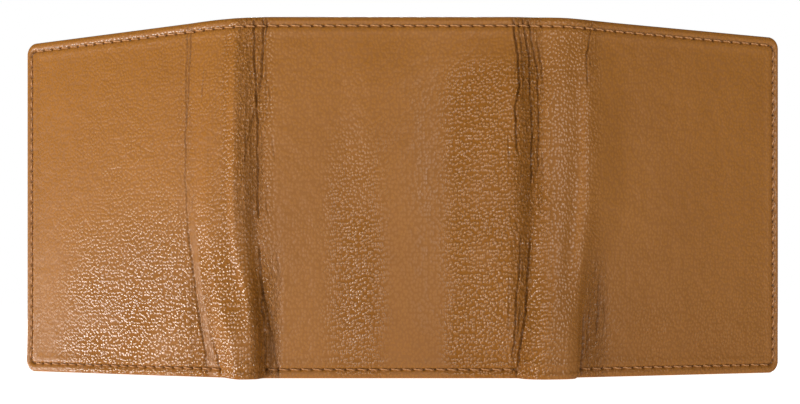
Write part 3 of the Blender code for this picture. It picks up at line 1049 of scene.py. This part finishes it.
def add_thread(name, paths, materials):
    paths = np.array(paths)
    points, faces, flat = tubes(paths, thread_radii(INNER_THREAD_RADIUS, paths.shape[:2]))
    made = new_object(name, points, faces, materials["thread"], vectors={"flat": flat})
    return made


WINDOW_SEAM_INSET = 2.0


def make_inner_stitches(materials):
    low = strip_box("pocket_seam_left")[2][0]
    for side, sign in SIGN.items():
        (a, b), _, _ = strip_box(f"pocket_seam_{side}")
        inner, outer = (b, a) if side == "left" else (a, b)
        depth = lambda z: stack_depth(z, side)
        paths = inner_stitches(run_of((outer, 99.5), (outer, low), depth))
        paths += inner_stitches(run_of((outer, low), (inner, low), depth))
        paths += inner_stitches(run_of((inner, low), (inner, 88.5), depth))
        made = add_thread(f"pocket_stitching_{side}", paths, materials)
        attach(made, f"{side}_wing")
        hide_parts(f"pocket_seam_{side}")
    (q0, q1), (_, far), (z0, z1) = strip_box("id_window_frame")
    q0, q1, top = q0 + WINDOW_SEAM_INSET, q1 - WINDOW_SEAM_INSET, z1 - 1.5
    corners = ((q0, top), (q0, low), (q1, low), (q1, top))
    paths = []
    for start, end in zip(corners[:-1], corners[1:]):
        paths += inner_stitches(run_of(start, end, lambda z: far))
    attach(add_thread("window_stitching", paths, materials), "centre")
    top = HEIGHT - SEAM_INSET
    for name, side, wing in QUARTERS:
        middle = SPINE_MIDDLE[side]
        span = (middle, TIP[side] - SIGN[side] * 4) if wing else (0.0, middle)
        paths = inner_stitches(run_of((min(span), top), (max(span), top), lambda z: HEM_BACK))
        made = add_thread(f"top_stitching_inside_{name}", paths, materials)
        bend_with_fold(made, side, wing)


# ---------------- materials

def principled(name):
    made = bpy.data.materials.new(name)
    made.use_nodes = True
    return made, made.node_tree, made.node_tree.nodes["Principled BSDF"]


def ramp(tree, source, *stops):
    made = tree.nodes.new("ShaderNodeValToRGB")
    while len(made.color_ramp.elements) < len(stops):
        made.color_ramp.elements.new(0.5)
    for element, (at, colour) in zip(made.color_ramp.elements, stops):
        element.position = at
        element.color = (*colour, 1) if len(colour) == 3 else colour
    tree.links.new(source, made.inputs["Fac"])
    return made.outputs["Color"]


def maths(tree, operation, a, b=0.5, clamp=False):
    made = tree.nodes.new("ShaderNodeMath")
    made.operation = operation
    made.use_clamp = clamp
    for socket, value in zip(made.inputs, (a, b)):
        if isinstance(value, (int, float)):
            socket.default_value = value
        else:
            tree.links.new(value, socket)
    return made.outputs[0]


def mix(tree, factor, a, b, blend="MIX"):
    made = tree.nodes.new("ShaderNodeMix")
    made.data_type = "RGBA"
    made.blend_type = blend
    for socket, value in zip((made.inputs[0], made.inputs[6], made.inputs[7]), (factor, a, b)):
        if isinstance(value, (int, float)):
            socket.default_value = value
        elif isinstance(value, tuple):
            socket.default_value = (*value, 1)
        else:
            tree.links.new(value, socket)
    return made.outputs[2]


def mapped(tree, source, scale, offset=(0, 0, 0)):
    made = tree.nodes.new("ShaderNodeMapping")
    made.inputs["Scale"].default_value = scale
    made.inputs["Location"].default_value = offset
    tree.links.new(source, made.inputs["Vector"])
    return made.outputs[0]


def attribute(tree, name, output="Fac"):
    made = tree.nodes.new("ShaderNodeAttribute")
    made.attribute_name = name
    return made.outputs[output]


def noise(tree, vector, scale, detail=3.0, roughness=0.5):
    made = tree.nodes.new("ShaderNodeTexNoise")
    made.inputs["Scale"].default_value = scale
    made.inputs["Detail"].default_value = detail
    made.inputs["Roughness"].default_value = roughness
    tree.links.new(vector, made.inputs["Vector"])
    return made.outputs["Fac"]


def wandering(tree, flat, scale, amount):
    """The flat map pushed about by noise, so that patterns on it don't look ruled."""
    warp = tree.nodes.new("ShaderNodeTexNoise")
    warp.inputs["Scale"].default_value = scale
    warp.inputs["Detail"].default_value = 2
    tree.links.new(flat, warp.inputs["Vector"])
    shift = tree.nodes.new("ShaderNodeVectorMath")
    shift.operation = "MULTIPLY_ADD"
    tree.links.new(warp.outputs["Color"], shift.inputs[0])
    shift.inputs[1].default_value = (amount, amount, 0)
    tree.links.new(flat, shift.inputs[2])
    return shift.outputs[0]


def pebbles(tree, vector, size):
    """Rounded pebbles: 1 at the top of each, falling to a crease between them."""
    cells = tree.nodes.new("ShaderNodeTexVoronoi")
    cells.voronoi_dimensions = "2D"
    cells.inputs["Scale"].default_value = 1 / size
    cells.inputs["Randomness"].default_value = 0.8
    tree.links.new(vector, cells.inputs["Vector"])
    square = maths(tree, "POWER", cells.outputs["Distance"], 2.0)
    return maths(tree, "SUBTRACT", 1.0, maths(tree, "MULTIPLY", square, 3.9), True)


def bump(tree, height, distance, strength=1.0, normal=None):
    made = tree.nodes.new("ShaderNodeBump")
    made.inputs["Distance"].default_value = distance
    if isinstance(strength, (int, float)):
        made.inputs["Strength"].default_value = strength
    else:
        tree.links.new(strength, made.inputs["Strength"])
    tree.links.new(height, made.inputs["Height"])
    if normal is not None:
        tree.links.new(normal, made.inputs["Normal"])
    return made.outputs["Normal"]


def creases(tree, vector, narrow):
    """Thin branching creases, 1 in the middle of each, where a noise crosses its middle value."""
    swing = maths(tree, "ABSOLUTE", maths(tree, "SUBTRACT", noise(tree, vector, 1.0, 2.0, 0.55), 0.5))
    return maths(tree, "SUBTRACT", 1.0, maths(tree, "DIVIDE", swing, narrow), True)


def outer_leather():
    made, tree, shader = principled("outer_leather")
    flat = attribute(tree, "flat", "Vector")
    maps = ("crease_shade", "hole", "relief", "crumpled")
    crease_shade, hole, relief, crumpled = (attribute(tree, name) for name in maps)
    grain = pebbles(tree, mapped(tree, wandering(tree, flat, 0.25, 0.8), (1.0, 0.8, 1)), 0.95)
    patches = noise(tree, flat, 0.03, 3)
    fine = noise(tree, mapped(tree, flat, (3.2, 1.6, 1)), 1.0, 4, 0.6)
    web = creases(tree, mapped(tree, flat, (0.62, 0.13, 1)), 0.07)
    web = maths(tree, "MAXIMUM", web, creases(tree, mapped(tree, flat, (0.9, 0.3, 1), (31, 7, 0)), 0.05))
    web = maths(tree, "MULTIPLY", web, crumpled)
    tone = ramp(tree, patches, (0.3, (0.295, 0.113, 0.0145)), (0.72, (0.345, 0.136, 0.019)))
    tone = mix(tree, maths(tree, "MULTIPLY", noise(tree, flat, 0.35, 3), 0.4), tone, (0.325, 0.119, 0.0155))
    pits = maths(tree, "SUBTRACT", 1.0, grain)
    tone = mix(tree, maths(tree, "MULTIPLY", pits, 0.3), tone, (0.20, 0.066, 0.006))
    matt = maths(tree, "POWER", pits, 3.0)
    pits = maths(tree, "MULTIPLY", pits, relief)
    tone = mix(tree, maths(tree, "MULTIPLY", pits, 0.35), tone, (0.15, 0.05, 0.006))
    # painted shade: the crumpled zones' web of small creases coloured darker, as shade in them
    tone = mix(tree, maths(tree, "MULTIPLY", web, 0.34), tone, (0.11, 0.038, 0.006))
    # painted shade: the furrows' colour darkened where shade falls in them
    tone = mix(tree, maths(tree, "MULTIPLY", crease_shade, 0.55), tone, (0.06, 0.02, 0.005))
    # painted shade: the needle holes coloured near black, as shade in them
    tone = mix(tree, maths(tree, "MULTIPLY", hole, 0.75, True), tone, (0.05, 0.018, 0.007))
    tree.links.new(tone, shader.inputs["Base Color"])
    normal = bump(tree, fine, 0.03 * MM, 0.5)
    normal = bump(tree, maths(tree, "SUBTRACT", 1.0, web), 0.13 * MM, 1.0, normal)
    normal = bump(tree, grain, 0.16 * MM, relief, normal)
    tree.links.new(normal, shader.inputs["Normal"])
    rough = mix(tree, relief, (0.35,) * 3, (0.19,) * 3)
    rough = mix(tree, maths(tree, "MAXIMUM", crease_shade, matt), rough, (0.6,) * 3)
    tree.links.new(rough, shader.inputs["Roughness"])
    gloss = mix(tree, maths(tree, "MAXIMUM", matt, web), (1.0,) * 3, (0.08,) * 3)
    tree.links.new(mix(tree, relief, (0.5,) * 3, gloss), shader.inputs["Specular IOR Level"])
    return made


def plain_leather(name, light, dark, relief, rough):
    """Flat leather with a finer, shallower grain than the outside."""
    made, tree, shader = principled(name)
    flat = attribute(tree, "flat", "Vector")
    grain = pebbles(tree, wandering(tree, flat, 0.25, 0.8), 0.85)
    fine = noise(tree, mapped(tree, flat, (3.2, 2.4, 1)), 1.0, 4, 0.6)
    tone = ramp(tree, noise(tree, flat, 0.05, 4), (0.3, dark), (0.7, light))
    pits = maths(tree, "MULTIPLY", maths(tree, "SUBTRACT", 1.0, grain), relief)
    tone = mix(tree, pits, tone, tuple(v * 0.6 for v in dark))
    tree.links.new(tone, shader.inputs["Base Color"])
    normal = bump(tree, fine, 0.03 * MM, 0.5)
    tree.links.new(bump(tree, grain, 0.09 * MM, relief, normal), shader.inputs["Normal"])
    roughness = mix(tree, noise(tree, flat, 0.15, 3), (rough,) * 3, (rough + 0.12,) * 3)
    tree.links.new(roughness, shader.inputs["Roughness"])
    return made


def lining_cloth():
    """A plain twill: fine diagonal ribs."""
    made, tree, shader = principled("lining_cloth")
    flat = attribute(tree, "flat", "Vector")
    twill = tree.nodes.new("ShaderNodeTexWave")
    twill.bands_direction = "DIAGONAL"
    twill.inputs["Scale"].default_value = 0.9
    twill.inputs["Distortion"].default_value = 0.6
    tree.links.new(flat, twill.inputs["Vector"])
    weft = noise(tree, mapped(tree, flat, (0.6, 7.0, 1)), 1.0, 2)
    height = mix(tree, 0.4, twill.outputs["Fac"], weft)
    tone = ramp(tree, height, (0.2, (0.055, 0.028, 0.015)), (0.85, (0.135, 0.072, 0.038)))
    tree.links.new(tone, shader.inputs["Base Color"])
    tree.links.new(bump(tree, height, 0.08 * MM, 0.7), shader.inputs["Normal"])
    shader.inputs["Roughness"].default_value = 0.85
    shader.inputs["Sheen Weight"].default_value = 0.3
    return made


def clear_vinyl():
    made, tree, shader = principled("clear_vinyl")
    flat = attribute(tree, "flat", "Vector")
    scuffs = noise(tree, mapped(tree, flat, (0.4, 2.5, 1)), 0.5, 5, 0.65)
    tree.links.new(ramp(tree, scuffs, (0.4, (0.06,) * 3), (0.75, (0.22,) * 3)), shader.inputs["Roughness"])
    tree.links.new(bump(tree, noise(tree, flat, 0.12, 2), 0.12 * MM, 0.4), shader.inputs["Normal"])
    shader.inputs["Base Color"].default_value = (0.85, 0.88, 0.88, 1)
    shader.inputs["Alpha"].default_value = 0.22
    shader.inputs["IOR"].default_value = 1.5
    return made


def board():
    """Pressed fibre board: pale, matt and flecked."""
    made, tree, shader = principled("fibre_board")
    where = tree.nodes.new("ShaderNodeTexCoord").outputs["Object"]
    fibres = noise(tree, mapped(tree, where, (900, 900, 2600)), 1.0, 4, 0.7)
    flecks = noise(tree, where, 420, 2)
    tone = ramp(tree, fibres, (0.3, (0.33, 0.27, 0.19)), (0.75, (0.50, 0.43, 0.32)))
    tone = mix(tree, ramp(tree, flecks, (0.62, (0.0,) * 3), (0.7, (0.5,) * 3)), tone, (0.18, 0.13, 0.09))
    tree.links.new(tone, shader.inputs["Base Color"])
    tree.links.new(bump(tree, fibres, 0.05 * MM, 0.5), shader.inputs["Normal"])
    shader.inputs["Roughness"].default_value = 0.9
    return made


def thread():
    made, tree, shader = principled("thread")
    flat = attribute(tree, "flat", "Vector")
    wave = tree.nodes.new("ShaderNodeTexWave")
    wave.bands_direction = "DIAGONAL"
    wave.inputs["Scale"].default_value = 1.0
    tree.links.new(mapped(tree, flat, (1.3, 1.0, 0)), wave.inputs["Vector"])
    tone = ramp(tree, wave.outputs["Fac"], (0.0, (0.30, 0.12, 0.032)), (1.0, (0.5, 0.24, 0.09)))
    tree.links.new(tone, shader.inputs["Base Color"])
    tree.links.new(bump(tree, wave.outputs["Fac"], 0.08 * MM, 0.8), shader.inputs["Normal"])
    shader.inputs["Roughness"].default_value = 0.6
    return made


# ---------------- stage, lights and camera

FLOOR_GLOW, ROOM_LIGHT = 1.0, 0.06


def make_stage():
    """A pale shooting table, faintly lit through from below, in a plain room."""
    bpy.ops.mesh.primitive_plane_add(size=8, location=(0, 0, 0))
    floor = bpy.context.object
    floor.name = "floor"
    made, tree, shader = principled("floor")
    shader.inputs["Base Color"].default_value = (0.9, 0.9, 0.9, 1)
    shader.inputs["Roughness"].default_value = 0.9
    shader.inputs["Emission Color"].default_value = (1, 1, 1, 1)
    shader.inputs["Emission Strength"].default_value = FLOOR_GLOW
    floor.data.materials.append(made)
    floor.visible_shadow = floor.visible_glossy = False
    world = bpy.data.worlds.new("studio")
    bpy.context.scene.world = world
    world.use_nodes = True
    tree = world.node_tree
    room = tree.nodes["Background"]
    room.inputs["Color"].default_value = (1, 1, 1, 1)
    room.inputs["Strength"].default_value = ROOM_LIGHT
    backdrop = tree.nodes.new("ShaderNodeBackground")
    backdrop.inputs["Color"].default_value = (1, 1, 1, 1)
    seen = tree.nodes.new("ShaderNodeLightPath")
    either = tree.nodes.new("ShaderNodeMixShader")
    tree.links.new(seen.outputs["Is Camera Ray"], either.inputs[0])
    tree.links.new(room.outputs[0], either.inputs[1])
    tree.links.new(backdrop.outputs[0], either.inputs[2])
    tree.links.new(either.outputs[0], tree.nodes["World Output"].inputs["Surface"])


def area_light(name, place_m, target_m, size, power):
    data = bpy.data.lights.new(name, "AREA")
    data.shape = "RECTANGLE"
    data.size = data.size_y = size
    data.energy = power
    made = bpy.data.objects.new(name, data)
    made.location = place_m
    made.rotation_euler = (Vector(target_m) - Vector(place_m)).to_track_quat("-Z", "Y").to_euler()
    bpy.context.scene.collection.objects.link(made)


# In metres: the lamps' distance, their size and the height they aim at
LIGHT_RANGE, LIGHT_SIZE, LIGHT_AIM = 0.8, 0.2, 0.05
# Name, azimuth and elevation in degrees (right of the camera is positive) and power in watts of each soft box
LIGHTS = (
    ("key_left", -58, -17, 3.7),
    ("edge_left", -95, -12, 2.4),
    ("low_left", -26, 2, 0.9),
    ("right", 24, 8, 1.0),
    ("behind", 180, 35, 5.0),
)


def make_lights():
    for name, azimuth, elevation, power in LIGHTS:
        across, up = math.radians(azimuth), math.radians(elevation)
        ahead = LIGHT_RANGE * math.cos(up)
        rise = LIGHT_AIM + LIGHT_RANGE * math.sin(up)
        where = (ahead * math.sin(across), -ahead * math.cos(across), rise)
        area_light(name, where, (0, 0, LIGHT_AIM), LIGHT_SIZE, power)


# The lens and sensor, and the camera's place: back from the face, to the right and up, all in millimetres
FOCAL = 38.25
SENSOR = 36.0
CAMERA_BACK = 253.6
CAMERA_SIDE = 2.4
CAMERA_HEIGHT = 23.3
# How far the view is shifted down, as a share of the picture's width
VIEW_SHIFT = 0.123


def make_camera():
    data = bpy.data.cameras.new("camera")
    data.lens, data.sensor_width = FOCAL, SENSOR
    data.shift_y = VIEW_SHIFT
    data.clip_start, data.clip_end = 0.01, 20
    made = bpy.data.objects.new("camera", data)
    made.location = (CAMERA_SIDE * MM, (FACE_Y - CAMERA_BACK) * MM, CAMERA_HEIGHT * MM)
    made.rotation_euler = (math.pi / 2, 0, 0)
    bpy.context.scene.collection.objects.link(made)
    bpy.context.scene.camera = made


# ---------------- the scene

make_camera()
make_stage()
make_lights()
bpy.context.scene.view_settings.view_transform = "Standard"
TURNED_TONES = ((0.25, 0.10, 0.018), (0.21, 0.082, 0.014))
INNER_TONES = ((0.215, 0.086, 0.017), (0.175, 0.068, 0.013))
materials = {
    "outer_leather": outer_leather(),
    "outer_leather_plain": plain_leather("turned_leather", *TURNED_TONES, relief=0.3, rough=0.42),
    "inner_leather": plain_leather("inner_leather", *INNER_TONES, relief=0.35, rough=0.38),
    "lining": lining_cloth(),
    "clear_vinyl": clear_vinyl(),
    "thread": thread(),
}
stiff = board()
for name in ("stiffener_centre", "stiffener_left", "stiffener_right"):
    frame["nodes"][name].data.materials[0] = stiff
skin = Skin()
runs = make_outer_leather(skin, materials)
make_outer_stitches(skin, runs, materials)
make_lining(materials)
make_hems(materials)
make_inner_back(materials)
make_pockets(materials)
make_window(materials)
make_inner_stitches(materials)
